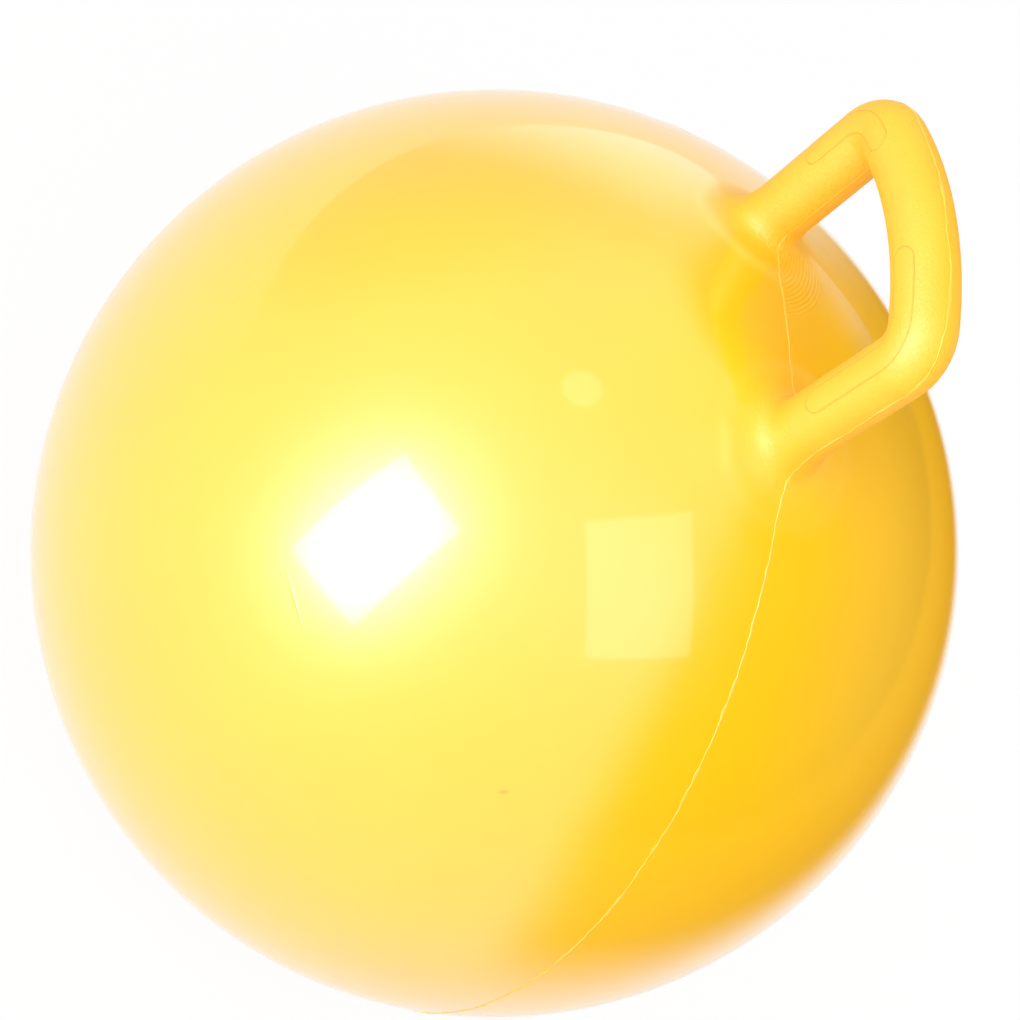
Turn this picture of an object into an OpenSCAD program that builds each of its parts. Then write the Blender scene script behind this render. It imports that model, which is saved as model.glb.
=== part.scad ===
// Hopper ball: a blown-up vinyl ball with a closed loop handle, a raised parting line and a stopper.
// Millimetres, +Z up. The origin is the middle of the flat patch that the ball rests on.
// The loop and the parting line lie in the XZ plane. The valve is on the +Y side.

/* [Ball] */
// Diameter of the blown-up ball
ball_d = 450; // [400:5:600]
// Thickness of the skin
skin_t = 1.3; // [1:0.1:3]
// Radius of the flat patch under the ball
patch_r = 25; // [18:1:40]

/* [Handle] */
// Width over the two arms
loop_w = 142; // [130:1:170]
// Height of the grip's top over the ball's top
loop_h = 102.5; // [95:0.5:125]
// Thickness of the round bar
bar_d = 28; // [24:0.5:31]
// Wall of the hollow bar
bar_wall = 3; // [2:0.25:5]
// Radius of the grip's crown along the middle of the bar
crown_r = 151; // [120:1:240]
// Radius inside the two top corners
corner_in = 1.5; // [1.2:0.1:6]

/* [Roots] */
// Height of the flare on the arm
flare_h = 13; // [9:0.5:18]
// Reach of the flare past the arm, in the loop's plane
flare_w = 15; // [9:0.5:18]
// Reach of the flare past the arm, on the loop's two faces
flare_face = 20; // [9:0.5:24]
// Thickness of the flare's edge on the skin
flare_edge = 0.4; // [0.3:0.05:0.8]

/* [Parting line] */
// Width of the raised line
seam_w = 1.4; // [1:0.1:2.4]
// Height of the raised line
seam_h = 0.6; // [0.4:0.05:0.9]

/* [Valve] */
// Diameter of the collar in the skin
seat_d = 32; // [30:0.5:42]
// Depth of the collar from the ball's face
seat_depth = 14; // [12:0.5:20]
// Reach of the collar's inner flange past the collar
seat_lip = 7; // [4:0.5:12]
// Thickness of the collar's inner flange on the valve's axis
lip_t = 7.5; // [4.5:0.5:12]
// Diameter of the air hole
bore_d = 9; // [7:0.25:10]
// Diameter of the stopper's head
head_d = 21; // [17:0.5:24]
// Thickness of the stopper's head
head_t = 2.6; // [2:0.1:4]
// Depth of the head's face under the ball's face
head_sink = 0.6; // [0.5:0.1:1.5]
// Length of the stopper's stem under its head
stem_l = 16; // [14:0.5:24]
// Number of ribs round the stem
rib_n = 3; // [2:1:3]
// Height of each rib over the stem
rib_h = 0.35; // [0.2:0.05:0.5]

/* [Fits] */
// Gap between the ribs and the air hole, all round
plug_gap = 0.06; // [0.05:0.01:0.2]
// Gap between the head and its recess, all round
head_gap = 0.6; // [0.4:0.1:1.2]
// Gap between two curved faces of the one moulding
lay_gap = 0.05; // [0.05:0.01:0.1]

/* [Hidden] */
$fn = 96;
// Facets of a ball that a small piece is cut from
fine = 360;
ball_r = ball_d / 2;
ball_z = sqrt(pow(ball_r, 2) - pow(patch_r, 2));
bar_r = bar_d / 2;
hollow_r = bar_r - bar_wall;
over = 1;

// Loop: two upright arms, two corners and a crowned grip, each tangent to the next
arm_x = (loop_w - bar_d) / 2;
corner_r = bar_r + corner_in;
grip_z = ball_z + ball_r + loop_h - bar_r;
crown_z = grip_z - crown_r;
corner_x = arm_x - corner_r;
crown_half = asin(corner_x / (crown_r - corner_r));
corner_z = crown_z + (crown_r - corner_r) * cos(crown_half);
corner_turn = 90 - crown_half;
corner_steps = 10;
grip_steps = 14;

// Roots: the flare starts at its height over the skin and the neck ends a little above that
neck_straight = 2;
skin_high = sqrt(pow(ball_r, 2) - pow(arm_x - bar_r, 2));
neck_z = ball_z + skin_high + flare_h + neck_straight;
seat_r = ball_r + lay_gap;
sides = 36;
flare_steps = 8;
under_steps = 4;

// Valve, measured along +Y from the ball's centre
collar_r = seat_d / 2;
head_y = ball_r - head_sink;
floor_y = head_y - head_t;
back_y = ball_r - seat_depth;
bore_r = bore_d / 2;
rib_r = bore_r - plug_gap;
stem_r = rib_r - rib_h;
rib_w = 1.4;
rib_first = 3;
rib_pitch = 3;
tip_r = 1.5;
head_edge = 0.6;
notch_w = 4;
notch_d = 1.2;
notch_h = 1;

vinyl_gloss = [0.99, 0.78, 0.02];
vinyl_matt = [0.99, 0.8, 0.12];
vinyl_line = [1, 0.9, 0.5];
vinyl_white = [0.95, 0.94, 0.9];

// Shared shapes

// Ball of radius r, cut flat at height z
module ball_solid(r, z) {
  difference() {
    translate([0, 0, ball_z]) sphere(r = r);
    translate([-ball_d, -ball_d, z - ball_d]) cube([2 * ball_d, 2 * ball_d, ball_d]);
  }
}

// Stations along the loop from the +X arm to the -X arm: x, z and the angle of the outward side
stations = concat(
  [[arm_x, neck_z, 0]],
  [for (i = [0 : corner_steps]) let (a = corner_turn * i / corner_steps)
    [corner_x + corner_r * cos(a), corner_z + corner_r * sin(a), a]],
  [for (i = [1 : grip_steps]) let (a = corner_turn + 2 * crown_half * i / grip_steps)
    [crown_r * cos(a), crown_z + crown_r * sin(a), a]],
  [for (i = [1 : corner_steps]) let (a = 90 + crown_half + corner_turn * i / corner_steps)
    [corner_r * cos(a) - corner_x, corner_z + corner_r * sin(a), a]],
  [[-arm_x, neck_z, 180]]
);

// Spot at distance d from the bar's middle and angle b round it, at station s
function bar_spot(s, d, b) = [
  s[0] + d * cos(b) * cos(s[2]),
  d * sin(b),
  s[1] + d * cos(b) * sin(s[2])
];

// Closed outlines joined in turn, with the first and last one capped
module sweep(rows, caps) {
  n = len(rows[0]);
  last = len(rows) - 1;
  polyhedron(
    points = [for (row = rows) each row],
    faces = concat(
      [for (i = [0 : last - 1]) for (k = [0 : n - 1]) let (m = (k + 1) % n)
        each [[i * n + k, (i + 1) * n + k, (i + 1) * n + m],
              [i * n + k, (i + 1) * n + m, i * n + m]]],
      [for (f = caps) f],
      [for (f = caps) [for (k = [len(f) - 1 : -1 : 0]) last * n + f[k]]]
    ),
    convexity = 6
  );
}

// Slab of the parting line's width in the loop's plane
module seam_slab() {
  slab = 2 * (ball_d + loop_h);
  translate([-slab / 2, -seam_w / 2, -slab / 2]) cube([slab, seam_w, slab]);
}

// Cylinder along +Y from y1 to y2 on the valve's axis
module valve_rod(r, y1, y2) {
  translate([0, y1, ball_z]) rotate([-90, 0, 0]) cylinder(r = r, h = y2 - y1);
}

// Ball

module ball_skin() {
  color(vinyl_gloss) difference() {
    ball_solid(ball_r, 0);
    ball_solid(ball_r - skin_t, skin_t);
    for (s = [-1, 1]) translate([s * arm_x, 0, ball_z]) cylinder(r = hollow_r, h = ball_d);
    valve_rod(collar_r + lay_gap, back_y, ball_r + over);
  }
}

// Left out under the patch and where the roots cover the skin
module ball_seam() {
  foot_r = bar_r + flare_w + lay_gap;
  color(vinyl_line) difference() {
    intersection() {
      ball_solid(ball_r + seam_h, seam_h);
      seam_slab();
    }
    translate([0, 0, ball_z]) sphere(r = seat_r);
    for (s = [-1, 1]) translate([s * arm_x, 0, ball_z]) cylinder(r = foot_r, h = ball_d);
  }
}

// Roots

// Height of a ball of radius r at the spot x, y
function ball_top(r, x, y) = ball_z + sqrt(pow(r, 2) - pow(x, 2) - pow(y, 2));

// Spot on a root at angle a and distance d from the arm's axis, on the ball of radius r
function root_spot(d, a, r) = [
  arm_x + d * cos(a),
  d * sin(a),
  ball_top(r, arm_x + d * cos(a), d * sin(a))
];

// Reach of the flare from the arm's axis at angle a
function reach(a) = bar_r + flare_w + (flare_face - flare_w) * pow(sin(a), 2);

// Flare at angle a: a cubic that leaves the arm straight down and lands along the skin
function flare_point(t, a) =
  let (
    r = seat_r + flare_edge,
    top = root_spot(bar_r, a, r) + [0, 0, flare_h],
    foot = root_spot(reach(a), a, r),
    slope = (root_spot(reach(a), a, r) - root_spot(reach(a) - over, a, r)) / over,
    pull = 1.4,
    h1 = 2 * pow(t, 3) - 3 * pow(t, 2) + 1,
    h2 = pow(t, 3) - 2 * pow(t, 2) + t,
    h3 = 3 * pow(t, 2) - 2 * pow(t, 3),
    h4 = pow(t, 3) - pow(t, 2)
  )
  h1 * top + h2 * pull * [0, 0, -flare_h] + h3 * foot + h4 * pull * (reach(a) - bar_r) * slope;

// Closed outline of a root at angle a: bore, top, flare, then back along the skin
function root_outline(a) = concat(
  [[arm_x + hollow_r * cos(a), hollow_r * sin(a), neck_z]],
  [[arm_x + bar_r * cos(a), bar_r * sin(a), neck_z]],
  [for (i = [0 : flare_steps]) flare_point(i / flare_steps, a)],
  [for (i = [0 : under_steps])
    root_spot(reach(a) + (hollow_r - reach(a)) * i / under_steps, a, seat_r)]
);

module root() {
  rows = [for (i = [0 : sides - 1]) root_outline(360 * i / sides)];
  n = len(rows[0]);
  spots = [for (row = rows) each row];
  faces = [for (i = [0 : sides - 1]) for (k = [0 : n - 1])
    let (j = (i + 1) % sides, m = (k + 1) % n)
    each [[i * n + k, j * n + k, j * n + m], [i * n + k, j * n + m, i * n + m]]];
  polyhedron(points = spots, faces = faces, convexity = 6);
}

module root_right() {
  color(vinyl_gloss) root();
}

module root_left() {
  color(vinyl_gloss) mirror([1, 0, 0]) root();
}

// Handle

// Hollow bar: at each station an outer ring, then an inner ring run the other way round
module handle_loop() {
  outer = [for (s = stations) [for (k = [0 : sides - 1]) bar_spot(s, bar_r, 360 * k / sides)]];
  inner = [for (s = stations) [for (k = [0 : sides - 1]) bar_spot(s, hollow_r, 360 * k / sides)]];
  n = sides;
  last = len(stations) - 1;
  half = n * (last + 1);
  spots = concat([for (row = outer) each row], [for (row = inner) each row]);
  walls = [for (i = [0 : last - 1]) for (k = [0 : n - 1])
    let (m = (k + 1) % n, a = i * n, b = (i + 1) * n)
    each [[a + k, b + k, b + m], [a + k, b + m, a + m],
          [half + a + k, half + b + m, half + b + k], [half + a + k, half + a + m, half + b + m]]];
  ends = [for (k = [0 : n - 1]) let (m = (k + 1) % n, b = last * n)
    each [[k, m, half + m], [k, half + m, half + k],
          [b + k, half + b + m, b + m], [b + k, half + b + k, half + b + m]]];
  color(vinyl_matt) polyhedron(points = spots, faces = concat(walls, ends), convexity = 6);
}

// One strip on the outer side of the bar, one on the inner side
module handle_seam() {
  wide = asin(seam_w / 2 / bar_r);
  slim = wide / 2;
  color(vinyl_line) for (side = [0, 180])
    sweep(
      [for (s = stations) [
        bar_spot(s, bar_r + lay_gap, side - wide),
        bar_spot(s, bar_r + lay_gap, side + wide),
        bar_spot(s, bar_r + seam_h, side + slim),
        bar_spot(s, bar_r + seam_h, side - slim)
      ]],
      [[0, 1, 2], [0, 2, 3]]
    );
}

// Valve

module valve_seat() {
  color(vinyl_gloss) difference() {
    union() {
      intersection() {
        translate([0, 0, ball_z]) sphere(r = ball_r, $fn = fine);
        valve_rod(collar_r, back_y, ball_r + over);
      }
      intersection() {
        translate([0, 0, ball_z]) sphere(r = ball_r - skin_t - lay_gap, $fn = fine);
        valve_rod(collar_r + seat_lip, ball_r - skin_t - lip_t, ball_r);
      }
    }
    valve_rod(head_d / 2 + head_gap, floor_y, ball_r + over);
    valve_rod(bore_r, back_y - over, ball_r);
  }
}

// Half outline of the stopper: radius across, height along its axis from the head's underside
module plug_outline() {
  polygon(concat(
    [[0, -stem_l], [stem_r - tip_r, -stem_l], [stem_r, tip_r - stem_l]],
    [for (i = [rib_n - 1 : -1 : 0]) let (y = -rib_first - i * rib_pitch) each [
      [stem_r, y - rib_w], [rib_r, y - rib_w / 2], [stem_r, y]
    ]],
    [[stem_r, 0], [head_d / 2, 0], [head_d / 2, head_t - head_edge],
     [head_d / 2 - head_edge, head_t], [0, head_t]]
  ));
}

// The notch in the head's edge takes a fingernail
module valve_plug() {
  color(vinyl_white) translate([0, floor_y, ball_z]) rotate([-90, 0, 0]) difference() {
    rotate_extrude() plug_outline();
    translate([head_d / 2 - notch_d, -notch_w / 2, -over])
      cube([notch_d + over, notch_w, notch_h + over]);
  }
}

ball_skin();
ball_seam();
root_left();
root_right();
handle_loop();
handle_seam();
valve_seat();
valve_plug();
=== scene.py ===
import math

import bpy
import numpy as np
from mathutils import Matrix, Vector


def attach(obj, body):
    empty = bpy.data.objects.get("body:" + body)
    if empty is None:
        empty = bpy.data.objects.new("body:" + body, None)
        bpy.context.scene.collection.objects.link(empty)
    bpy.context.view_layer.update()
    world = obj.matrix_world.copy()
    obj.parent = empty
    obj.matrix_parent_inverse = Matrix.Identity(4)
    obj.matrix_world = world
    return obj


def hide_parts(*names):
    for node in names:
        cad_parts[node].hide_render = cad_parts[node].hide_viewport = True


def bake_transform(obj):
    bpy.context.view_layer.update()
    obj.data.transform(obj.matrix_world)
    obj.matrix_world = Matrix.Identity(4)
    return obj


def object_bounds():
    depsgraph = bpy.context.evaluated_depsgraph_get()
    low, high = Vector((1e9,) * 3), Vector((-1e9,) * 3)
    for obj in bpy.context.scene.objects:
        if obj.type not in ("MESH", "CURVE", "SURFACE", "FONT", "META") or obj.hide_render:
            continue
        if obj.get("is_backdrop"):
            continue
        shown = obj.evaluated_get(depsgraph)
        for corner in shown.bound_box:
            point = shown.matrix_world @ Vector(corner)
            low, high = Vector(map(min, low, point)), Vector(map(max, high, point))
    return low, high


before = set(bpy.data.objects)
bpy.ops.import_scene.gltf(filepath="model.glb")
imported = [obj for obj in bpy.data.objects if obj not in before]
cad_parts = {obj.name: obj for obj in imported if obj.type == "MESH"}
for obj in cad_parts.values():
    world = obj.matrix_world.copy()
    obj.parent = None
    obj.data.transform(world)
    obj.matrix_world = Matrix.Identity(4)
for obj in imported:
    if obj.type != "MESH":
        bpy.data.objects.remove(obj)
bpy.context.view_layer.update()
print("frame loaded:", len(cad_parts), "nodes")

mm = 0.001

# sizes in mm that the ball, the roots and the handle share, with this ball's own swell, splay and lean
ball = dict(radius=225.0, patch=25.0, patchRound=0.3, hump=3.2, humpStart=36.0, humpEnd=88.0)
loop = dict(armX=55.6, cornerAt=57.0, lean=0.035, barRadius=14.0, crown=151.0, cornerIn=1.5, top=327.5)
root = dict(neck=15.0, draw=4.4, drawFace=0.6, fadeStart=14.0, fadeEnd=44.0, capInset=0.8,
            bendBelow=2.0, bendAbove=4.0)
ballZ = math.sqrt(ball["radius"] ** 2 - ball["patch"] ** 2)  # the ball's centre over the floor
cornerRadius = loop["barRadius"] + loop["cornerIn"]
crownZ = loop["top"] - loop["barRadius"] - loop["crown"]  # from here on, heights are over the ball's centre
cornerX = loop["cornerAt"] - cornerRadius
crownHalf = math.asin(cornerX / (loop["crown"] - cornerRadius))
cornerZ = crownZ + (loop["crown"] - cornerRadius) * math.cos(crownHalf)
skinHigh = math.sqrt(ball["radius"] ** 2 - (loop["armX"] - loop["barRadius"]) ** 2)
neckZ = skinHigh + root["neck"]  # where the root ends and the arm begins
floorLevel = -ballZ


# mesh tools

# quads between neighbouring rows of a grid of points, wrapped round its columns, and its rows if closed
def gridFaces(rows, cols, closed=False):
    i, k = np.meshgrid(np.arange(rows if closed else rows - 1), np.arange(cols), indexing="ij")
    n, m = (i + 1) % rows, (k + 1) % cols
    return np.stack([i * cols + k, i * cols + m, n * cols + m, n * cols + k], -1).reshape(-1, 4)


# a smooth piece from points in mm, measured from the ball's centre
def meshObject(name, points, faces):
    mesh = bpy.data.meshes.new(name)
    mesh.from_pydata((points * mm + np.array([0, 0, ballZ * mm])).tolist(), [], faces)
    mesh.polygons.foreach_set("use_smooth", np.ones(len(mesh.polygons), bool))
    mesh.update()
    piece = bpy.data.objects.new(name, mesh)
    bpy.context.scene.collection.objects.link(piece)
    return piece


# a tube of points (rows, cols, 3), each end closed by a fan on its middle
def tubeObject(name, points, flip=False, attributes=None, uv=None):
    rows, cols = points.shape[:2]
    middles = np.stack([points[0].mean(0), points[-1].mean(0)])
    k = np.arange(cols)
    m = (k + 1) % cols
    low = np.stack([np.full(cols, rows * cols), m, k], -1)
    high = np.stack([np.full(cols, rows * cols + 1), (rows - 1) * cols + k, (rows - 1) * cols + m], -1)
    parts = [gridFaces(rows, cols), low, high]
    faces = [face for part in parts for face in (part[:, ::-1] if flip else part).tolist()]
    piece = meshObject(name, np.concatenate([points.reshape(-1, 3), middles]), faces)
    mesh = piece.data
    for key, values in (attributes or {}).items():
        flat = np.concatenate([values.reshape(-1), values[0, :1], values[-1, :1]])
        mesh.attributes.new(key, "FLOAT", "POINT").data.foreach_set("value", flat.astype(np.float32))
    if uv is not None:
        layer = mesh.uv_layers.new(name="surface")
        flat = np.concatenate([uv.reshape(-1, 2), uv[0, :1], uv[-1, :1]])
        corners = np.zeros(len(mesh.loops), np.int32)
        mesh.loops.foreach_get("vertex_index", corners)
        layer.data.foreach_set("uv", flat[corners].reshape(-1).astype(np.float32))
    return piece


# 0 below a, 1 above b, with level ends
def smoothStep(a, b, x):
    t = np.clip((x - a) / (b - a), 0, 1)
    return t * t * (3 - 2 * t)


# bakes the piece's placement into its mesh
def bendAtRoots(piece):
    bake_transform(piece)


# the ball with its two flared roots

# lines round each root, then rings, close together at the arm; reaches in mm from the arm's wall
skin = dict(lines=288, armShare=0.35, fineSteps=20000, flareRings=26, flareReach=19.0, flareTight=0.6,
            lipGap=0.0015, ballRings=88, mattReach=(1.5, 24.0), slackReach=(8.0, 85.0))
valveDip = dict(inner=14.0, outer=20.0, depth=6.0)


# height of the skin over the ball's centre: a sphere, a little swollen under the handle
def skinZ(x, y):
    sphere = np.sqrt(np.maximum(ball["radius"] ** 2 - x ** 2 - y ** 2, 0))
    return sphere + ball["hump"] * (1 - smoothStep(ball["humpStart"], ball["humpEnd"], np.hypot(x, y)))


# rise of the root over the skin: a hyperbola in the distance from the arm, which fades out on the ball
def rootRise(x, y):
    away = np.abs(x) - loop["armX"]
    dist = np.hypot(away, y)
    turn = np.arctan2(y, away)
    wallX, wallY = loop["armX"] + loop["barRadius"] * np.cos(turn), loop["barRadius"] * np.sin(turn)
    full = neckZ - skinZ(wallX, wallY)
    pull = (root["draw"] + root["drawFace"] * np.sin(turn) ** 2) ** 2
    gap = np.maximum(dist - loop["barRadius"], 0)
    return pull / (gap + pull / full) * (1 - smoothStep(root["fadeStart"], root["fadeEnd"], gap))


# globe grid whose poles are moved to the two roots: w = c (e^(s+iv) - 1) / (e^(s+iv) + 1) seen from below
rootSpread = math.tan(math.asin(loop["armX"] / ball["radius"]) / 2)


def globeSpot(s, v):
    zeta = np.exp(s + 1j * v)
    p, q = rootSpread * (zeta - 1), zeta + 1
    whole = np.abs(p) ** 2 + np.abs(q) ** 2
    pq = p * np.conj(q)
    up = (np.abs(q) ** 2 - np.abs(p) ** 2) / whole
    return ball["radius"] * np.stack([2 * pq.real / whole, 2 * pq.imag / whole, up], -1)


# s at which the line at angle v lies dist from the arm's axis, halved down from both sides
def distanceLine(dist, v, least=0.5, most=9.0, halvings=48):
    low = np.full(np.broadcast(dist, v).shape, least)
    high = np.full(low.shape, most)
    for step in range(halvings):
        mid = (low + high) / 2
        spot = globeSpot(mid, v)
        outside = np.hypot(spot[..., 0] - loop["armX"], spot[..., 1]) > dist
        low, high = np.where(outside, mid, low), np.where(outside, high, mid)
    return (low + high) / 2


# angles round the roots, part evenly spaced at the arm and part evenly spaced round the ball
fineV = np.linspace(0, math.pi, skin["fineSteps"] + 1)[:-1]
ballV = 2 * np.arctan(rootSpread * np.tan(fineV / 2))
evenness = (skin["armShare"] * fineV + (1 - skin["armShare"]) * ballV) / math.pi
halfLines = skin["lines"] // 2
halfV = np.interp(np.linspace(0, 1, halfLines + 1), np.append(evenness, 1), np.append(fineV, math.pi))
angleV = np.concatenate([halfV, 2 * math.pi - halfV[-2:0:-1]])

# rings of one half, from the arm down the flare and on to the ball's middle
tight = skin["flareTight"]
gaps = tight * ((skin["flareReach"] + tight) / tight) ** np.linspace(0, 1, skin["flareRings"]) - tight
gaps = np.concatenate([[0, skin["lipGap"]], gaps[1:]])
flareS = distanceLine((loop["barRadius"] + gaps)[:, None], angleV[None, :])
outerS = flareS[-1, halfLines]
tiltEnd = 2 * math.atan(rootSpread / math.tanh(outerS / 2))
tilts = np.linspace(tiltEnd, math.pi, skin["ballRings"] + 1)[1:-1]
share = np.append(2 * np.arctanh(rootSpread / np.tan(tilts / 2)) / outerS, 0)
gridS = np.concatenate([flareS, flareS[-1][None, :] * share[:, None]])
half = globeSpot(gridS, angleV[None, :])
upper = half[..., 2] > 0
half[..., 2] = np.where(upper, skinZ(half[..., 0], half[..., 1]), half[..., 2])
half[..., 2] += np.where(upper, rootRise(half[..., 0], half[..., 1]), 0)
half[0, :, 2] = neckZ

# each neck is closed inside the bar, at its lines' own angles round the arm
barTurn = np.unwrap(np.arctan2(half[0, :, 1], half[0, :, 0] - loop["armX"]))
capRadius = loop["barRadius"] - root["capInset"]
cap = np.stack([loop["armX"] + capRadius * np.cos(barTurn), capRadius * np.sin(barTurn),
                np.full(skin["lines"], neckZ)], -1)
half = np.concatenate([cap[None], half])
other = half[-2::-1] * np.array([-1, 1, 1])  # the same half in a mirror
skinPoints = np.concatenate([half, other])

# the floor presses the skin flat, and the skin dips under the valve's pad
above = skinPoints[..., 2] - floorLevel
skinPoints[..., 2] = floorLevel + 0.5 * (above + np.sqrt(above ** 2 + ball["patchRound"] ** 2))
fromValve = np.hypot(skinPoints[..., 0], skinPoints[..., 2])
onValve = (skinPoints[..., 1] > 0) * (1 - smoothStep(valveDip["inner"], valveDip["outer"], fromValve))
skinPoints[..., 1] -= valveDip["depth"] * onValve

nearRoot = np.hypot(np.abs(skinPoints[..., 0]) - loop["armX"], skinPoints[..., 1]) - loop["barRadius"]
nearRoot = np.where(skinPoints[..., 2] > 0, nearRoot, ball["radius"])  # the lower half is clear of the roots
ballSkin = tubeObject("ball_with_roots", skinPoints, attributes=dict(
    mattness=1 - smoothStep(*skin["mattReach"], nearRoot),
    rootNear=1 - smoothStep(*skin["slackReach"], nearRoot)))
bendAtRoots(ballSkin)
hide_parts("ball_skin", "root_left", "root_right")
print("ball with roots:", len(ballSkin.data.polygons), "faces")


# the handle's loop

bar = dict(armSteps=30, cornerSteps=26, gripSteps=48)
barEndStep = 0.04  # from the bar's end ring to the next, which keeps its edge crisp


# stations along the bar: x, z and the direction of its outer side, from the +X arm to the -X arm
def loopStations(armSteps, cornerSteps, gripSteps):
    arm = np.linspace(neckZ, cornerZ, armSteps)
    turn = math.pi / 2 - crownHalf
    a = np.linspace(0, turn, cornerSteps + 1)[1:]
    g = np.linspace(turn, math.pi - turn, gripSteps + 1)[1:]
    b = np.linspace(math.pi - turn, math.pi, cornerSteps + 1)[1:]
    splay = np.linspace(loop["armX"], loop["cornerAt"], armSteps)
    x = np.concatenate([splay, cornerX + cornerRadius * np.cos(a), loop["crown"] * np.cos(g),
                        cornerRadius * np.cos(b) - cornerX, -splay[-2::-1]])
    z = np.concatenate([arm, cornerZ + cornerRadius * np.sin(a), crownZ + loop["crown"] * np.sin(g),
                        cornerZ + cornerRadius * np.sin(b), arm[-2::-1]])
    side = np.concatenate([np.zeros(armSteps), a, g, b, np.full(armSteps - 1, math.pi)])
    return x + loop["lean"] * (z - neckZ), z, side


# spots at distance d and section angle b round the bar's middle
def barSpots(x, z, side, d, b):
    reach = d * np.cos(b)
    return np.stack([x + reach * np.cos(side), d * np.sin(b) + 0 * x, z + reach * np.sin(side)], -1)


barX, barZ, barSide = [np.concatenate([q[:1], q, q[-1:]])[:, None] for q in loopStations(**bar)]
barZ[[1, -2]] = neckZ + barEndStep
sections = barSpots(barX, barZ, barSide, loop["barRadius"], barTurn[None, :])
caps = barSpots(barX[[0, -1]], barZ[[0, -1]], barSide[[0, -1]], capRadius, barTurn[None, :])
sections = np.concatenate([caps[:1], sections, caps[1:]])

# the surface in mm: along the bar, and round it from its outer side
along = np.concatenate([[0], np.cumsum(np.hypot(np.diff(barX[:, 0]), np.diff(barZ[:, 0])))])
lengths = np.concatenate([along[:1], along, along[-1:]])
girths = np.abs(np.arctan2(np.sin(barTurn), np.cos(barTurn))) * loop["barRadius"]
barUv = np.stack(np.broadcast_arrays(lengths[:, None], girths[None, :]), -1)
handleBar = tubeObject("handle_bar", sections, flip=True, uv=barUv)
bendAtRoots(handleBar)
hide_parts("handle_loop")
print("handle bar:", len(handleBar.data.polygons), "faces, loop length", round(float(along[-1]), 1), "mm")


# the parting line

# ridge in mm; each unevenness is the mean, the swing, the least and the most, as shares of the size
seam = dict(width=1.25, height=0.27, wander=0.45)
ridge = dict(unevenWidth=(0.85, 0.5, 0.35, 1.5), unevenHeight=(0.8, 0.55, 0.25, 1.6), endWidth=0.25,
             endHeight=0.1, sink=0.25, endFade=3.0, sides=10, waves=8, shortest=6, longest=60)
seamRun = dict(sideSteps=700, gapSteps=420, patchMargin=0.012, nearPower=1.6, farPower=1.2, farStart=0.3,
               farFade=120.0)
fineBar = dict(armSteps=90, cornerSteps=40, gripSteps=150)


# slow uneven change along a length: a few sines of unlike wavelengths, mostly from -1 to 1
def drift(length, seed):
    rng = np.random.default_rng(seed)
    waves = rng.uniform(ridge["shortest"], ridge["longest"], ridge["waves"])
    phases = rng.uniform(0, 2 * math.pi, ridge["waves"])
    return np.sin(2 * math.pi * length[:, None] / waves + phases).sum(1) / (ridge["waves"] / 2)


# the drift as shares of a size, held between the least and the most
def unevenShare(length, seed, mean, swing, least, most):
    return np.clip(mean + swing * drift(length, seed), least, most)


# a low ridge along a line in the XZ plane: a lens section that grows, thins and wanders a little
def ridgeObject(name, x, z, normalX, normalZ, width, height, wander, seed, fade=ridge["endFade"]):
    length = np.concatenate([[0], np.cumsum(np.hypot(np.diff(x), np.diff(z)))])
    ends = np.minimum(smoothStep(0, fade, length), smoothStep(0, ridge["endFade"], length[-1] - length))
    wide = width * unevenShare(length, seed, *ridge["unevenWidth"])
    wide = wide * (ridge["endWidth"] + (1 - ridge["endWidth"]) * ends)
    high = height * unevenShare(length, seed + 1, *ridge["unevenHeight"])
    high = high * (ridge["endHeight"] + (1 - ridge["endHeight"]) * ends)
    shift = wander * drift(length, seed + 2)
    turn = np.linspace(0, 2 * math.pi, ridge["sides"] + 1)[:-1]
    y = shift[:, None] + wide[:, None] / 2 * np.cos(turn)
    rise = np.where(np.sin(turn) > 0, high[:, None] * np.sin(turn), ridge["sink"] * np.sin(turn))
    points = [x[:, None] + rise * normalX[:, None], y, z[:, None] + rise * normalZ[:, None]]
    return tubeObject(name, np.stack(points, -1))


# unit normals of a line in the XZ plane, on its side away from the ball's centre
def outwardNormals(x, z):
    dx, dz = np.gradient(x), np.gradient(z)
    size = np.hypot(dx, dz)
    sign = -1 if (dx * z - dz * x < 0).mean() > 0.5 else 1
    return -sign * dz / size, sign * dx / size


# the skin's line in the XZ plane at tilt t from the top, root rise and flat patch included
def skinLine(t):
    x, z = ball["radius"] * np.sin(t), ball["radius"] * np.cos(t)
    rise = np.where(z > 0, skinZ(x, 0 * x) - np.maximum(z, 0) + rootRise(x, 0 * x), 0)
    return x, np.maximum(z + rise, floorLevel)


# tilts from a start down to the flat patch, closer together near the start
def sideRun(start, power):
    bottom = math.pi - math.asin(ball["patch"] / ball["radius"]) - seamRun["patchMargin"]
    return start + (bottom - start) * np.linspace(0, 1, seamRun["sideSteps"]) ** power


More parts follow.
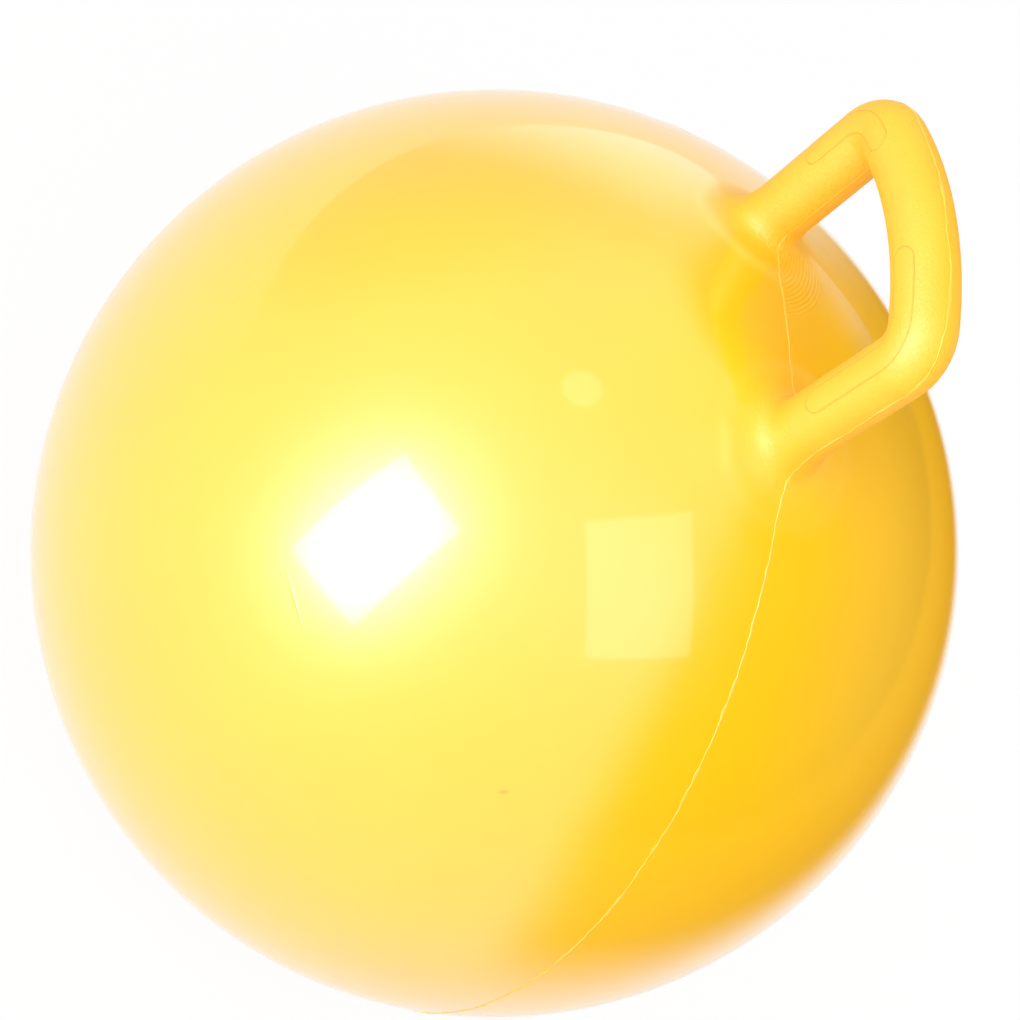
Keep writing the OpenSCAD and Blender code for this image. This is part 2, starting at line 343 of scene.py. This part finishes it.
wallTilt = math.asin((loop["armX"] + loop["barRadius"]) / ball["radius"])
innerTilt = math.asin((loop["armX"] - loop["barRadius"]) / ball["radius"])
nearRun = sideRun(wallTilt, seamRun["nearPower"])
farRun = sideRun(wallTilt + seamRun["farStart"], seamRun["farPower"])  # trimmed away beside its root
gapRun = innerTilt * np.sin(np.linspace(-math.pi / 2, math.pi / 2, seamRun["gapSteps"]))
seamPieces = []
for name, run, seed, fade in (("ball_seam_right", nearRun, 11, ridge["endFade"]),
                              ("ball_seam_left", -farRun, 23, seamRun["farFade"]),
                              ("ball_seam_top", gapRun, 37, ridge["endFade"])):
    lineX, lineZ = skinLine(run)
    normals = outwardNormals(lineX, lineZ)
    seamPieces.append(ridgeObject(name, lineX, lineZ, *normals, seed=seed, fade=fade, **seam))
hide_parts("ball_seam")
fineX, fineZ, fineSide = loopStations(**fineBar)
for name, turn, seed, size in (("handle_seam_outer", 0.0, 51, 1.0),
                               ("handle_seam_inner", math.pi, 67, 0.55)):
    spots = barSpots(fineX, fineZ, fineSide, loop["barRadius"], turn)
    outX, outZ = math.cos(turn) * np.cos(fineSide), math.cos(turn) * np.sin(fineSide)
    low = {key: value * size for key, value in seam.items()}
    seamPieces.append(ridgeObject(name, spots[:, 0], spots[:, 2], outX, outZ, seed=seed, **low))
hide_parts("handle_seam")
for piece in seamPieces:
    bendAtRoots(piece)
print("parting line:", len(seamPieces), "ridges")


# the valve's pad round the stopper

pad = dict(bore=5.2, recess=11.1, outer=24.0, height=0.55, edge=0.7, rimStep=0.5, deep=3.2, under=0.05,
           tuck=0.5, thick=2.5)
padSteps = dict(floor=6, wall=4, edge=7, slope=26, around=96)


# distance of the ball's surface from its centre along the valve's axis
def domeY(r):
    return np.sqrt(ball["radius"] ** 2 - r ** 2)


# profile from the bore: the recess's floor and wall, a round edge, and a slope that falls as an ellipse
floorY = ball["radius"] - pad["deep"]
rimR = pad["recess"] + pad["edge"]
floorR = np.linspace(pad["bore"], pad["recess"] - pad["under"], padSteps["floor"])
wallTop = domeY(pad["recess"]) + pad["height"] - pad["edge"]
wallY = np.linspace(floorY, wallTop, padSteps["wall"])
bend = np.linspace(0, math.pi / 2, padSteps["edge"])
edgeR = pad["recess"] + pad["edge"] * (1 - np.cos(bend))
edgeY = domeY(edgeR) + pad["height"] - pad["edge"] * (1 - np.sin(bend))
slopeR = np.linspace(rimR + pad["rimStep"], pad["outer"], padSteps["slope"])
fall = np.clip(1 - ((slopeR - rimR) / (pad["outer"] - rimR)) ** 2, 0, 1)
slopeY = domeY(slopeR) + pad["height"] * np.sqrt(fall)
slopeY[-1] -= pad["tuck"]
padR = np.concatenate([floorR, np.full(len(wallY), pad["recess"]), edgeR, slopeR])
padY = np.concatenate([np.full(len(floorR), floorY - pad["under"]), wallY, edgeY, slopeY])
ringR = np.concatenate([padR, padR[-2::-1]])
ringY = np.concatenate([padY, np.minimum(padY[-2::-1], floorY) - pad["thick"]])

# the profile turned about the valve's axis, closed both ways round
turn = np.linspace(0, 2 * math.pi, padSteps["around"] + 1)[:-1, None]
padPoints = np.stack(np.broadcast_arrays(ringR * np.cos(turn), ringY, ringR * np.sin(turn)), -1)
padFaces = gridFaces(*padPoints.shape[:2], closed=True)
valvePad = meshObject("valve_pad", padPoints.reshape(-1, 3), padFaces.tolist())
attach(valvePad, "ball")
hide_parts("valve_seat")
print("valve pad made")


# materials

# a written sRGB colour as the linear one that the shader takes
def linearColour(code):
    values = [int(code[i:i + 2], 16) / 255 for i in (1, 3, 5)]
    return [v / 12.92 if v <= 0.04045 else ((v + 0.055) / 1.055) ** 2.4 for v in values] + [1.0]


# adds a node with its settings and links and gives back one of its outputs
def addNode(tree, kind, inputs=None, out=0, **settings):
    node = tree.nodes.new("ShaderNode" + kind)
    for key, value in settings.items():
        setattr(node, key, value)
    for key, value in (inputs or {}).items():
        if isinstance(value, bpy.types.NodeSocket):
            tree.links.new(value, node.inputs[key])
        else:
            node.inputs[key].default_value = value
    return node.outputs[out] if len(node.outputs) else node


def newMaterial(name):
    made = bpy.data.materials.new(name)
    made.use_nodes = True
    made.node_tree.nodes.clear()
    return made, made.node_tree


# noise scale for blotches of a real width in mm
def perMetre(size):
    return 1000.0 / size


# soft blotches between a finish's deep and light tones
def mottledTone(tree, spot, finish):
    blotch = addNode(tree, "TexNoise", {"Vector": spot, "Scale": perMetre(finish["blotch"]),
                                        "Detail": finish["detail"]})
    ends = {6: linearColour(finish["deep"]), 7: linearColour(finish["light"])}
    return addNode(tree, "Mix", {0: blotch, **ends}, out=2, data_type="RGBA")


# soft vinyl from a blasted part of the mould: a fine dull grain, thin lines where the mould's inserts met
handleFinish = dict(deep="#feb806", light="#ffc318", blotch=26.0, detail=3.0, grain=1.2, grainDepth=0.26,
                    grainDetail=3.0, grainSpan=(0.3, 0.7), dull=(0.54, 0.68), ior=1.52, level=0.7,
                    line="#ee9a00", lineTint=0.35, lineEdge=(0.12, 0.45), lineDepth=0.2)

# the same vinyl from the polished part, blown up tight: a wet gloss over a broad shine in deep warm yellow
skinFinish = dict(deep="#ffbe00", light="#ffc800", blotch=140.0, detail=2.0, peel=9.0, peelDepth=0.010,
                  shine=0.36, mattShine=0.25, ior=1.52, level=0.55, gloss=0.065, coatIor=1.9, coatLoss=0.3,
                  slackSize=46.0, slackDetail=1.0, slackDepth=6.0, slackNear=0.5, slackAll=0.015)

# one low patchy ring round each arm, its pale tone a painted reflection, and fine rings on the skin beside
# the upper root, in mm
armRing = dict(radius=37.0, wander=12.0, width=7.0, height=0.2, paintedSheen="#ffd858", patches=(0.40, 0.60),
               strength=(0.12, 0.6))
fineRing = dict(centre=(-40.0, -12.0, 452.0), pitch=1.9, reach=40.0, depth=0.06, strength=0.8,
                edge=(-6.0, 4.0))

# small marks on the skin: place and long direction in metres, sizes in mm along, across and into the skin
marks = dict(
    crease=dict(place=(0.1165, -0.1654, 0.3205), along=(0.0307, 0.0163, -0.0092), size=(17.0, 0.9, 4.0)),
    scuff=dict(place=(0.1847, -0.0735, 0.3290), along=(0.0428, 0.8343, 0.5496), size=(3.6, 1.3, 2.0)))
markLook = dict(creaseDepth=0.16, creaseStrength=0.8, scuffTone="#b9780c", scuffStrength=0.6)


# 1 at the middle of a long soft spot, 0 at its edge
def softMark(tree, spot, place, along, size):
    out = (Vector(place) - Vector((0, 0, ballZ * mm))).normalized()
    ahead = Vector(along)
    ahead = (ahead - ahead.dot(out) * out).normalized()
    turned = Matrix((ahead, out.cross(ahead), out)).transposed().to_euler()
    fitted = {"Location": place, "Rotation": turned, "Scale": [s * mm for s in size]}
    local = addNode(tree, "Mapping", {"Vector": spot, **fitted}, vector_type="TEXTURE")
    return addNode(tree, "TexGradient", {"Vector": local}, out="Fac", gradient_type="SPHERICAL")


# 1 on a ring round each arm, which wanders with the wave, 0 beside it
def armRingBand(tree, x, y, wave):
    across = addNode(tree, "Math", {0: x}, operation="ABSOLUTE")
    across = addNode(tree, "Math", {0: across, 1: loop["armX"] * mm}, operation="SUBTRACT")
    fromArm = addNode(tree, "CombineXYZ", {0: across, 1: y})
    far = addNode(tree, "VectorMath", {0: fromArm}, out="Value", operation="LENGTH")
    far = addNode(tree, "Math", {0: wave, 1: armRing["wander"] * mm, 2: far}, operation="MULTIPLY_ADD")
    off = addNode(tree, "Math", {0: far, 1: armRing["radius"] * mm}, operation="SUBTRACT")
    off = addNode(tree, "Math", {0: off}, operation="ABSOLUTE")
    return addNode(tree, "MapRange", {0: off, 1: 0.0, 2: armRing["width"] * mm, 3: 1.0, 4: 0.0},
                   interpolation_type="SMOOTHSTEP")


# sine rings round one spot, left out past their reach and on the near side of the parting line
def fineRings(tree, spot, y):
    centre = [value * mm for value in fineRing["centre"]]
    far = addNode(tree, "VectorMath", {0: spot, 1: centre}, out="Value", operation="DISTANCE")
    turns = addNode(tree, "Math", {0: far, 1: 2 * math.pi / (fineRing["pitch"] * mm)}, operation="MULTIPLY")
    rings = addNode(tree, "Math", {0: turns}, operation="SINE")
    inside = addNode(tree, "Math", {0: far, 1: fineRing["reach"] * mm}, operation="LESS_THAN")
    rings = addNode(tree, "Math", {0: rings, 1: inside}, operation="MULTIPLY")
    farSide = addNode(tree, "MapRange", {0: y, 1: fineRing["edge"][0] * mm, 2: fineRing["edge"][1] * mm})
    return addNode(tree, "Math", {0: rings, 1: farSide}, operation="MULTIPLY")


# the polished vinyl: plain on the pad, and on the ball marked and dulled towards the roots by its attributes
def glossVinyl(name, onBall):
    made, tree = newMaterial(name)
    spot = addNode(tree, "TexCoord", out="Object")
    tone = mottledTone(tree, spot, skinFinish)
    peel = addNode(tree, "TexNoise", {"Vector": spot, "Scale": perMetre(skinFinish["peel"])})
    normal = addNode(tree, "Bump", {"Height": peel, "Distance": skinFinish["peelDepth"] * mm})
    roughness, coat = skinFinish["shine"], 1.0
    if onBall:
        mattness = addNode(tree, "Attribute", out="Fac", attribute_name="mattness")
        rootNear = addNode(tree, "Attribute", out="Fac", attribute_name="rootNear")
        x = addNode(tree, "SeparateXYZ", {0: spot})
        y = x.node.outputs[1]
        # slack skin, slacker towards the roots
        wave = addNode(tree, "TexNoise", {"Vector": spot, "Scale": perMetre(skinFinish["slackSize"]),
                                          "Detail": skinFinish["slackDetail"]})
        slack = addNode(tree, "Math", {0: rootNear, 1: skinFinish["slackNear"], 2: skinFinish["slackAll"]},
                        operation="MULTIPLY_ADD")
        normal = addNode(tree, "Bump", {"Height": wave, "Distance": skinFinish["slackDepth"] * mm,
                                        "Strength": slack, "Normal": normal})
        # one low ring round each arm, patchy with the wave; its pale tone is a painted reflection on the
        # skin
        band = armRingBand(tree, x, y, wave)
        patchy = addNode(tree, "MapRange", {0: wave, 1: armRing["patches"][0], 2: armRing["patches"][1],
                                            3: armRing["strength"][0], 4: armRing["strength"][1]},
                         interpolation_type="SMOOTHSTEP")
        normal = addNode(tree, "Bump", {"Height": band, "Distance": armRing["height"] * mm,
                                        "Strength": patchy, "Normal": normal})
        pale = addNode(tree, "Math", {0: band, 1: patchy}, operation="MULTIPLY")
        tone = addNode(tree, "Mix", {0: pale, 6: tone, 7: linearColour(armRing["paintedSheen"])},
                       out=2, data_type="RGBA")
        # a faint crease beside the brightest reflection and one small scuff below it
        crease = softMark(tree, spot, **marks["crease"])
        normal = addNode(tree, "Bump", {"Height": crease, "Distance": markLook["creaseDepth"] * mm,
                                        "Strength": markLook["creaseStrength"], "Normal": normal})
        scuff = softMark(tree, spot, **marks["scuff"])
        scuff = addNode(tree, "Math", {0: scuff, 1: markLook["scuffStrength"]}, operation="MULTIPLY")
        tone = addNode(tree, "Mix", {0: scuff, 6: tone, 7: linearColour(markLook["scuffTone"])},
                       out=2, data_type="RGBA")
        rings = fineRings(tree, spot, y)
        normal = addNode(tree, "Bump", {"Height": rings, "Distance": fineRing["depth"] * mm,
                                        "Strength": fineRing["strength"], "Normal": normal})
        # the handle's dull grain takes over at the roots
        dullTone = mottledTone(tree, spot, handleFinish)
        tone = addNode(tree, "Mix", {0: mattness, 6: tone, 7: dullTone}, out=2, data_type="RGBA")
        grain = addNode(tree, "TexNoise", {"Vector": spot, "Scale": perMetre(handleFinish["grain"]),
                                           "Detail": handleFinish["grainDetail"]})
        normal = addNode(tree, "Bump", {"Height": grain, "Distance": handleFinish["grainDepth"] * mm,
                                        "Strength": mattness, "Normal": normal})
        wet = addNode(tree, "Math", {0: rootNear, 1: -skinFinish["coatLoss"], 2: 1.0},
                      operation="MULTIPLY_ADD")
        glossy = addNode(tree, "Math", {0: 1.0, 1: mattness}, operation="SUBTRACT")
        coat = addNode(tree, "Math", {0: wet, 1: glossy}, operation="MULTIPLY")
        roughness = addNode(tree, "Math", {0: mattness, 1: skinFinish["mattShine"], 2: skinFinish["shine"]},
                            operation="MULTIPLY_ADD")
    shader = addNode(tree, "BsdfPrincipled", {
        "Base Color": tone, "Roughness": roughness, "IOR": skinFinish["ior"],
        "Specular IOR Level": skinFinish["level"], "Coat Weight": coat,
        "Coat Roughness": skinFinish["gloss"], "Coat IOR": skinFinish["coatIor"], "Normal": normal})
    addNode(tree, "OutputMaterial", {"Surface": shader})
    return made


# engraved outlines on the bar's sides, in mm along it and round it from its outer side
panels = [dict(start=12.0, end=104.0, middle=20.5, halfWidth=5.4),
          dict(start=157.0, end=213.0, middle=21.1, halfWidth=5.3)]


# 1 on the edge of a long panel with round ends: a fixed distance from the panel's middle line
def panelLine(tree, length, girth, start, end, middle, halfWidth):
    centre, reach = (start + end) / 2, (end - start) / 2 - halfWidth
    p = addNode(tree, "Math", {0: length, 1: centre}, operation="SUBTRACT")
    p = addNode(tree, "Math", {0: p}, operation="ABSOLUTE")
    p = addNode(tree, "Math", {0: p, 1: reach}, operation="SUBTRACT")
    p = addNode(tree, "Math", {0: p, 1: 0.0}, operation="MAXIMUM")
    q = addNode(tree, "Math", {0: girth, 1: middle}, operation="SUBTRACT")
    pair = addNode(tree, "CombineXYZ", {0: p, 1: q})
    far = addNode(tree, "VectorMath", {0: pair}, out="Value", operation="LENGTH")
    edge = addNode(tree, "Math", {0: far, 1: halfWidth}, operation="SUBTRACT")
    edge = addNode(tree, "Math", {0: edge}, operation="ABSOLUTE")
    inner, outer = handleFinish["lineEdge"]
    return addNode(tree, "MapRange", {0: edge, 1: inner, 2: outer, 3: 1.0, 4: 0.0},
                   interpolation_type="SMOOTHSTEP")


def mattVinyl(name):
    made, tree = newMaterial(name)
    spot = addNode(tree, "TexCoord", out="Object")
    length = addNode(tree, "SeparateXYZ", {0: addNode(tree, "TexCoord", out="UV")})
    girth = length.node.outputs[1]
    lines = [panelLine(tree, length, girth, **panel) for panel in panels]
    line = addNode(tree, "Math", {0: lines[0], 1: lines[1]}, operation="MAXIMUM")
    faint = addNode(tree, "Math", {0: line, 1: handleFinish["lineTint"]}, operation="MULTIPLY")
    tone = mottledTone(tree, spot, handleFinish)
    tone = addNode(tree, "Mix", {0: faint, 6: tone, 7: linearColour(handleFinish["line"])},
                   out=2, data_type="RGBA")
    grain = addNode(tree, "TexNoise", {"Vector": spot, "Scale": perMetre(handleFinish["grain"]),
                                       "Detail": handleFinish["grainDetail"]})
    (low, high), (least, most) = handleFinish["grainSpan"], handleFinish["dull"]
    dull = addNode(tree, "MapRange", {0: grain, 1: low, 2: high, 3: least, 4: most})
    normal = addNode(tree, "Bump", {"Height": grain, "Distance": handleFinish["grainDepth"] * mm})
    sunk = addNode(tree, "Math", {0: line, 1: -1.0}, operation="MULTIPLY")
    normal = addNode(tree, "Bump", {"Height": sunk, "Distance": handleFinish["lineDepth"] * mm,
                                    "Normal": normal})
    shader = addNode(tree, "BsdfPrincipled", {
        "Base Color": tone, "Roughness": dull, "IOR": handleFinish["ior"],
        "Specular IOR Level": handleFinish["level"], "Normal": normal})
    addNode(tree, "OutputMaterial", {"Surface": shader})
    return made


# thin flash of the same vinyl: a little paler, because light soaks through it, and uneven along its length
flashFinish = dict(deep="#ffbe08", light="#ffd360", blotch=14.0, detail=3.0, grain=1.6, grainDepth=0.12,
                   rough=0.42, ior=1.5)

# firm white vinyl of the stopper: satin, faintly mottled
stopperFinish = dict(deep="#e9e6da", light="#f4f2ea", blotch=5.0, detail=3.0, grain=0.7, grainDepth=0.03,
                     rough=0.45, ior=1.5)


# satin vinyl with a mottled tone and a fine grain
def satinVinyl(name, finish):
    made, tree = newMaterial(name)
    spot = addNode(tree, "TexCoord", out="Object")
    tone = mottledTone(tree, spot, finish)
    grain = addNode(tree, "TexNoise", {"Vector": spot, "Scale": perMetre(finish["grain"])})
    normal = addNode(tree, "Bump", {"Height": grain, "Distance": finish["grainDepth"] * mm})
    shader = addNode(tree, "BsdfPrincipled", {
        "Base Color": tone, "Roughness": finish["rough"], "IOR": finish["ior"], "Normal": normal})
    addNode(tree, "OutputMaterial", {"Surface": shader})
    return made


ballSkin.data.materials.append(glossVinyl("gloss_vinyl_skin", True))
handleBar.data.materials.append(mattVinyl("matt_vinyl_grain"))
flash = satinVinyl("vinyl_flash", flashFinish)
for piece in seamPieces:
    piece.data.materials.append(flash)
valvePad.data.materials.append(glossVinyl("gloss_vinyl_pad", False))
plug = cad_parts["valve_plug"]
plug.data.materials.clear()
plug.data.materials.append(satinVinyl("stopper_vinyl", stopperFinish))
print("materials made")


# camera, as far from the ball and turned as in the photograph

view = dict(lens=85.87, sensor=36.0, near=0.05, far=50.0, right=(0.0428, 0.8343, 0.5496),
            up=(-0.8628, -0.2465, 0.4414), offset=(0.0074, 0.0207, 1.1998))
axisRight = Vector(view["right"]).normalized()
axisUp = Vector(view["up"])
axisUp = (axisUp - axisUp.dot(axisRight) * axisRight).normalized()
axisBack = axisRight.cross(axisUp)
centre = Vector((0, 0, ballZ * mm))


# a spot given along the camera's right, up and back from the ball's middle
def camSpot(right, up, back):
    return centre + right * axisRight + up * axisUp + back * axisBack


# a thing's matrix from its place and its own three axes
def placed(place, *axes):
    return Matrix.Translation(place) @ Matrix(axes).transposed().to_4x4()


camData = bpy.data.cameras.new("camera")
camData.lens, camData.sensor_width = view["lens"], view["sensor"]
camData.clip_start, camData.clip_end = view["near"], view["far"]
cam = bpy.data.objects.new("camera", camData)
bpy.context.scene.collection.objects.link(cam)
cam.matrix_world = placed(camSpot(*view["offset"]), axisRight, axisUp, axisBack)
bpy.context.scene.camera = cam


# lights, placed from where the ball mirrors them

# a soft box at a spot, facing the ball, its long side along the given direction
def softBox(name, spot, along, size, watts, shape="RECTANGLE", diffuse=True, gloss=True):
    data = bpy.data.lights.new(name, "AREA")
    data.shape, data.size, data.size_y = shape, size[0], size[1]
    data.energy = watts
    lamp = bpy.data.objects.new(name, data)
    bpy.context.scene.collection.objects.link(lamp)
    place = camSpot(*spot)
    back = (place - centre).normalized()
    side = along[0] * axisRight + along[1] * axisUp + along[2] * axisBack
    side = (side - side.dot(back) * back).normalized()
    lamp.matrix_world = placed(place, side, back.cross(side), back)
    lamp.visible_camera = False
    lamp.visible_diffuse = diffuse
    lamp.visible_glossy = gloss


keyBox = dict(spot=(-0.79, 0.115, 1.63), along=(0.70, 0.65, 0.32), size=(1.03, 0.69))
sidePanel = dict(spot=(0.96, -0.21, 1.52), along=(-0.02, -0.99, -0.13), size=(0.95, 0.77))
roundLamp = dict(spot=(0.56, 1.06, 1.35), along=(0.74, -0.64, 0.21), size=(0.26, 0.26))
backFill = dict(spot=(1.5, -0.2, -0.6), along=(0, 1, 0), size=(1.6, 1.6))
frontFill = dict(spot=(-0.5, 0.35, 1.68), along=(1, 0, 0), size=(1.4, 1.4))
sideFill = dict(spot=(0.8, -0.1, 1.62), along=(0, 1, 0), size=(1.4, 1.4))
softBox("key_box", watts=6.5, **keyBox)
softBox("key_shine", watts=68, diffuse=False, **keyBox)
softBox("side_panel", watts=2.0, **sidePanel)
softBox("round_lamp", watts=0.12, shape="ELLIPSE", **roundLamp)
softBox("back_fill", watts=16, gloss=False, **backFill)
softBox("front_fill", watts=10, gloss=False, **frontFill)
softBox("side_fill", watts=9.5, gloss=False, **sideFill)


# level by direction: it goes from the first to the second over a span of the angle's cosine
def coneLevel(tree, way, toward, span, level):
    facing = addNode(tree, "VectorMath", {0: way, 1: toward}, out="Value", operation="DOT_PRODUCT")
    return addNode(tree, "MapRange", {0: facing, 1: span[0], 2: span[1], 3: level[0], 4: level[1]},
                   interpolation_type="SMOOTHSTEP")


# floor: white to the eye; to the gloss, white with a painted shadow far behind the ball, warmed by
# painted yellow bounce light from the ball; pale paper to the light, so that a faint shadow stays; sizes in
# metres
floorLook = dict(half=9, paper=0.85, glow=0.93, shade=0.5, bounceTint="#ffb420", middle=(-0.42, 0.0, 0.0),
                 start=0.70, end=1.07)
floorCone = dict(toward=(0.21, 0.974, 0.0), span=(0.36, 0.62), level=(0.0, 1.0))
floorMade, floorTree = newMaterial("pale_floor")
eye = addNode(floorTree, "LightPath", out="Is Camera Ray")
shiny = addNode(floorTree, "LightPath", out="Is Glossy Ray")
clear = addNode(floorTree, "LightPath", out="Is Transmission Ray")
where = addNode(floorTree, "TexCoord", out="Object")
way = addNode(floorTree, "VectorMath", {0: where}, operation="NORMALIZE")
toDark = coneLevel(floorTree, way, **floorCone)
far = addNode(floorTree, "VectorMath", {0: where, 1: floorLook["middle"]}, out="Value", operation="DISTANCE")
far = addNode(floorTree, "MapRange", {0: far, 1: floorLook["start"], 2: floorLook["end"]},
              interpolation_type="SMOOTHSTEP")
shade = addNode(floorTree, "Math", {0: toDark, 1: far}, operation="MULTIPLY")
front = addNode(floorTree, "MapRange", {0: shade, 3: 1.0, 4: floorLook["shade"]})
paleness = addNode(floorTree, "Math", {0: eye, 1: front}, operation="MAXIMUM")
mirrored = addNode(floorTree, "Math", {0: shiny, 1: clear}, operation="MAXIMUM")
glow = addNode(floorTree, "Math", {0: eye, 1: floorLook["glow"], 2: mirrored}, operation="MULTIPLY_ADD")
# painted yellow bounce inside the painted shadow, for all rays but the eye's
paintedBounce = addNode(floorTree, "Math", {0: eye, 1: 1.0}, operation="LESS_THAN")
paintedBounce = addNode(floorTree, "Math", {0: paintedBounce, 1: shade}, operation="MULTIPLY")
seen = addNode(floorTree, "Mix", {0: paintedBounce, 6: (1, 1, 1, 1), 7: linearColour(floorLook["bounceTint"])},
               out=2, data_type="RGBA")
paper = addNode(floorTree, "BsdfDiffuse", {"Color": [floorLook["paper"]] * 3 + [1]})
white = addNode(floorTree, "Emission", {"Color": seen, "Strength": paleness})
floorShader = addNode(floorTree, "MixShader", {0: glow, 1: paper, 2: white})
addNode(floorTree, "OutputMaterial", {"Surface": floorShader})
floorMesh = bpy.data.meshes.new("floor")
reach = floorLook["half"]
corners = [(-reach, -reach, 0), (reach, -reach, 0), (reach, reach, 0), (-reach, reach, 0)]
floorMesh.from_pydata(corners, [], [(0, 1, 2, 3)])
floorMesh.materials.append(floorMade)
floor = bpy.data.objects.new("floor", floorMesh)
bpy.context.scene.collection.objects.link(floor)
floor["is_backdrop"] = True

# room: pale all round and white to the eye; to the gloss it has three darker sides and one brighter wall
roomLevel = dict(light=0.84, darkLight=0.084, gloss=0.97)
roomCones = dict(
    dark=dict(toward=(0.21, 0.974, 0.082), span=(0.36, 0.62), level=(1.0, 0.0)),
    over=dict(toward=(-0.505, 0.497, 0.704), span=(0.87, 0.97), level=(1.0, 0.15)),
    behind=dict(toward=(-0.938, -0.308, 0.161), span=(0.72, 0.98), level=(1.0, 0.6)),
    wall=dict(toward=(-0.90, 0.43, 0.0), span=(0.80, 1.0), level=(0.0, 0.8)))
world = bpy.data.worlds.new("studio")
bpy.context.scene.world = world
world.use_nodes = True
room = world.node_tree
room.nodes.clear()
way = addNode(room, "TexCoord", out="Generated")
levels = {name: coneLevel(room, way, **cone) for name, cone in roomCones.items()}
light = addNode(room, "MapRange", {0: levels["dark"], 3: roomLevel["darkLight"], 4: roomLevel["light"]})
gloss = addNode(room, "Math", {0: levels["dark"], 1: levels["over"]}, operation="MULTIPLY")
gloss = addNode(room, "Math", {0: gloss, 1: levels["behind"]}, operation="MULTIPLY")
gloss = addNode(room, "Math", {0: gloss, 1: levels["wall"]}, operation="ADD")
gloss = addNode(room, "Math", {0: gloss, 1: roomLevel["gloss"]}, operation="MULTIPLY")
shiny = addNode(room, "LightPath", out="Is Glossy Ray")
level = addNode(room, "MapRange", {0: shiny, 3: light, 4: gloss})
dim = addNode(room, "Background", {"Color": (1, 1, 1, 1), "Strength": level})
bright = addNode(room, "Background", {"Color": (1, 1, 1, 1), "Strength": 1.0})
eye = addNode(room, "LightPath", out="Is Camera Ray")
addNode(room, "OutputWorld", {"Surface": addNode(room, "MixShader", {0: eye, 1: dim, 2: bright})})
bpy.context.scene.view_settings.view_transform = "Standard"
print("camera, lights and floor made")

low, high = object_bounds()
